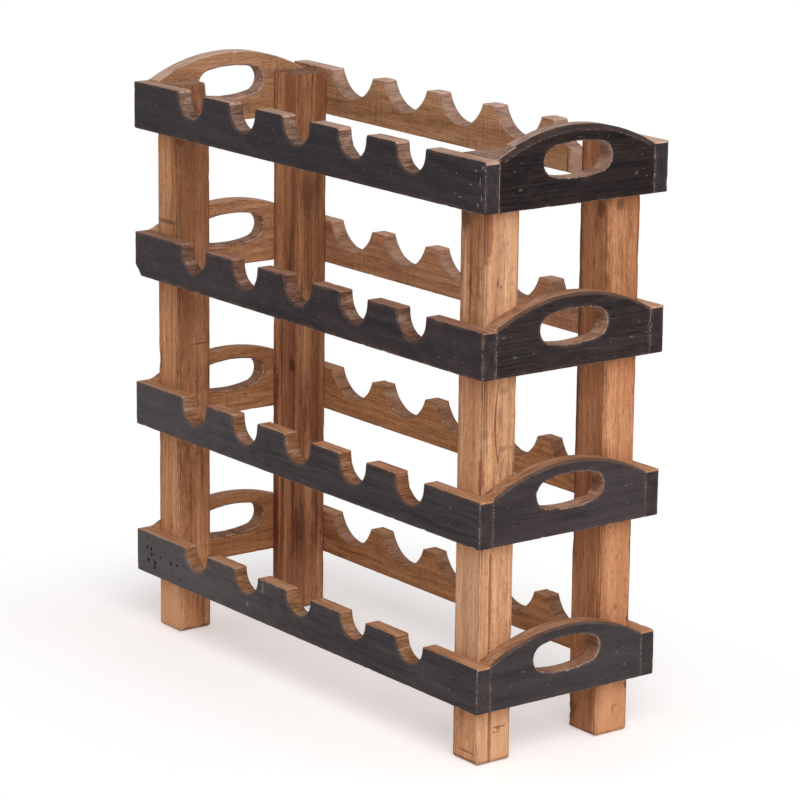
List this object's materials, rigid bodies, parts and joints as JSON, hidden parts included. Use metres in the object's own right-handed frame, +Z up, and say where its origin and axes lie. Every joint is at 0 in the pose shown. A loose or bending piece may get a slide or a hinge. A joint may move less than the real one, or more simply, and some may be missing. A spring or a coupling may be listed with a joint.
{
  "type": "wine rack",
  "caption": "Freestanding tiered wooden wine rack: square posts carry trays with notched front rails, scalloped back rails and arched end boards with hand-holes.",
  "frame": {"origin": "on the floor, under the middle of the rack's outer box", "axes": "+Z up; +X along the rack towards its right end as seen from the front; the front, with the narrow notches, faces -Y and the back, with the wide scallops, faces +Y"},
  "size_m": [0.6, 0.2246, 0.6241],
  "materials": {
    "stained_wood": "worn near-black stain on the outer face, bare warm brown wood on the other faces",
    "bare_board_wood": "bare reclaimed wood with saw marks, dark stain on the outer face",
    "bare_post_wood": "bare planed reclaimed wood with worn pale corners",
    "nail_steel": "dull steel nail heads, slightly rusted"
  },
  "bodies": {
    "root": {"front_left_post": "bare_post_wood", "front_right_post": "bare_post_wood", "back_left_post": "bare_post_wood", "back_right_post": "bare_post_wood", "tier1_front_rail": "stained_wood", "tier1_back_rail": "bare_board_wood", "tier1_left_end_board": "stained_wood", "tier1_right_end_board": "stained_wood", "tier2_front_rail": "stained_wood", "tier2_back_rail": "bare_board_wood", "tier2_left_end_board": "stained_wood", "tier2_right_end_board": "stained_wood", "tier3_front_rail": "stained_wood", "tier3_back_rail": "bare_board_wood", "tier3_left_end_board": "stained_wood", "tier3_right_end_board": "stained_wood", "tier4_front_rail": "stained_wood", "tier4_back_rail": "bare_board_wood", "tier4_left_end_board": "stained_wood", "tier4_right_end_board": "stained_wood"}
  },
  "joints": []
}
